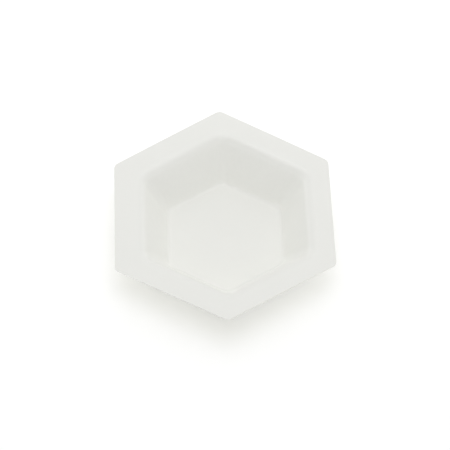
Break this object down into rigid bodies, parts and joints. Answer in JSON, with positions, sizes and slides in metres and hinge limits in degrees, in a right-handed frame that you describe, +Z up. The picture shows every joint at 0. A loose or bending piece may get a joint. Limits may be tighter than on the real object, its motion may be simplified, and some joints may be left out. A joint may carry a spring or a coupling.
{
  "type": "weighing dish",
  "caption": "Shallow hexagonal weighing dish formed from thin white plastic sheet, with sloping walls, a flat floor and a flat die-cut rim.",
  "frame": {"origin": "centre of the flat underside of the floor, where the dish rests on the pan or table", "axes": "+Z up out of the bowl, square to the floor and the rim; +Y through one corner of the hexagon, the longest way across; +X square to one flat of the rim"},
  "size_m": [0.064, 0.0732, 0.0129],
  "materials": {
    "polystyrene": "satin"
  },
  "bodies": {
    "root": {"dish": "polystyrene"}
  },
  "joints": []
}
